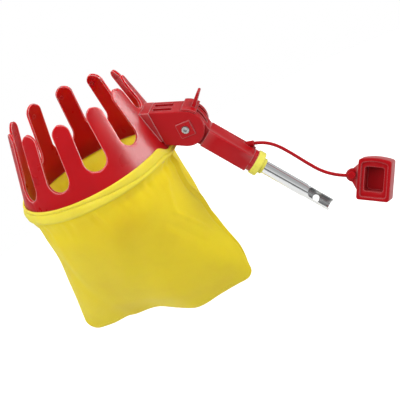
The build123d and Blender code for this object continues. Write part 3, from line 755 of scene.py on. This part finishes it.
def make_bag():
    points, flats = [], []
    for j in range(BAG_ROWS + 1):
        t = j / BAG_ROWS
        for i in range(BAG_SIDES):
            turn = bag_turn(i / BAG_SIDES)
            points.append(bag_point(turn, t))
            flats.append((BAG_ROUND * turn, BAG_DEEP * t))
    faces = [(a, d, c, b) for a, b, c, d in strips(0, BAG_ROWS + 1, BAG_SIDES)]
    faces += bottom_faces(BAG_ROWS * BAG_SIDES)
    bag = new_piece("bag_cloth", points, faces, bag_cloth, flats)
    thick = bag.modifiers.new("thick", "SOLIDIFY")
    thick.thickness = BAG_CLOTH
    thick.offset = -1.0
    # Its inner side takes the paler cloth with the painted through-light.
    thick.material_offset = 1
    bag.data.materials.append(bag_inside_lit)
    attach(bag, "head")
    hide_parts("bag")
    thread = sew("seam_stitches", seam_runs(), SEAM_THREAD, thread_yellow)
    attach(thread, "head")


# Tether
def make_tether():
    data = bpy.data.curves.new("tether_cord", "CURVE")
    data.dimensions = "3D"
    spline = data.splines.new("NURBS")
    spline.points.add(len(ROUTE) - 1)
    for point, place in zip(spline.points, ROUTE):
        point.co = (*place, 1.0)
    spline.order_u = 3
    spline.use_endpoint_u = True
    spline.resolution_u = 24
    data.bevel_depth = CORD_RADIUS
    data.bevel_resolution = 6
    data.use_fill_caps = True
    data.materials.append(cap_red)
    cord = bpy.data.objects.new("tether_cord", data)
    bpy.context.scene.collection.objects.link(cord)
    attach(cord, "socket")
    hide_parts("tether")


# Studio
def ray_kind(tree, *kinds):
    """1 for rays of any of these kinds."""
    path = add(tree, "ShaderNodeLightPath")
    total = path.outputs[kinds[0]]
    for kind in kinds[1:]:
        total = maths(tree, "MAXIMUM", total, path.outputs[kind])
    return total


def either(tree, factor, first, second):
    """First shader where the factor is 0, second where it is 1."""
    return add(tree, "ShaderNodeMixShader", {0: factor, 1: first, 2: second}).outputs[0]


def background(tree, colour, strength):
    return add(tree, "ShaderNodeBackground", {"Color": colour, "Strength": strength}).outputs[0]


def make_world():
    """White to the camera, soft grey light, and for reflections a pale studio with a dark horizon."""
    world = bpy.data.worlds.new("studio")
    bpy.context.scene.world = world
    world.use_nodes = True
    tree = world.node_tree
    tree.nodes.clear()
    way = add(tree, "ShaderNodeTexCoord").outputs["Generated"]
    height = add(tree, "ShaderNodeSeparateXYZ", {"Vector": way}).outputs["Z"]
    start, end = ROOM_SPAN
    stops = [((place - start) / (end - start), (grey,) * 3) for place, grey in ROOM]
    room = colours(tree, between(tree, height, 0.0, 1.0, start, end), *stops)
    mirror = background(tree, room, 1.0)
    soft = background(tree, WHITE, between(tree, height, *ROOM_LIGHT, start=-1.0, end=1.0))
    blank = background(tree, WHITE, 1.0)
    seen = either(tree, ray_kind(tree, "Is Glossy Ray", "Is Transmission Ray"), soft, mirror)
    surface = either(tree, ray_kind(tree, "Is Camera Ray"), seen, blank)
    add(tree, "ShaderNodeOutputWorld", {"Surface": surface})


def make_floor():
    """Pale disc that takes the object's shadow, lifted to white where the camera sees it."""
    middle = Vector((0.0, 0.0, cad_low.z - FLOOR_DROP))
    rim = ring(middle, Vector((1.0, 0.0, 0.0)), Vector((0.0, 1.0, 0.0)), FLOOR_RADIUS, FLOOR_SIDES)
    material, tree, shader = new_material("floor_white")
    grain = noise(tree, add(tree, "ShaderNodeTexCoord").outputs["Object"], scale=60.0)
    dark, pale = [(grey,) * 3 for grey in FLOOR_GREYS]
    feed(tree, shader, {
        "Base Color": colours(tree, grain, (0.3, dark), (0.7, pale)),
        "Roughness": 0.9,
        "Specular IOR Level": 0.0,
        "Emission Color": WHITE,
        "Emission Strength": maths(tree, "MULTIPLY", ray_kind(tree, "Is Camera Ray"), FLOOR_LIFT),
    })
    new_piece("floor", rim, [tuple(range(FLOOR_SIDES))], material)


def softbox(name, turn, height_angle, away, width, height, watts):
    """Area light that isn't seen in reflections; its values are as LAMPS gives them."""
    facing = heading(math.radians(turn), math.radians(height_angle))
    place = at_crown(*LAMPS_AIM) + facing * away
    data = bpy.data.lights.new(name, "AREA")
    data.shape = "RECTANGLE"
    data.size = width
    data.size_y = height
    data.energy = watts
    lamp = bpy.data.objects.new(name, data)
    lamp.matrix_world = Matrix.Translation(place) @ facing.to_track_quat("Z", "Y").to_matrix().to_4x4()
    lamp.visible_glossy = False
    bpy.context.scene.collection.objects.link(lamp)
    return lamp


def make_stage():
    """World, floor and lamps. The gleam is a reflection on the crown alone."""
    make_world()
    make_floor()
    lamps = {name: softbox(name, *values) for name, values in LAMPS.items()}
    gleam = lamps["gleam"]
    gleam.visible_glossy = True
    gleam.visible_diffuse = False
    lit = bpy.data.collections.new("gleam_on")
    lit.objects.link(nodes["crown"])
    gleam.light_linking.receiver_collection = lit
    bpy.context.scene.view_settings.view_transform = "Standard"


make_camera()
make_tether()
dress_nodes()
make_marks()
make_hem()
make_bag()
make_stage()
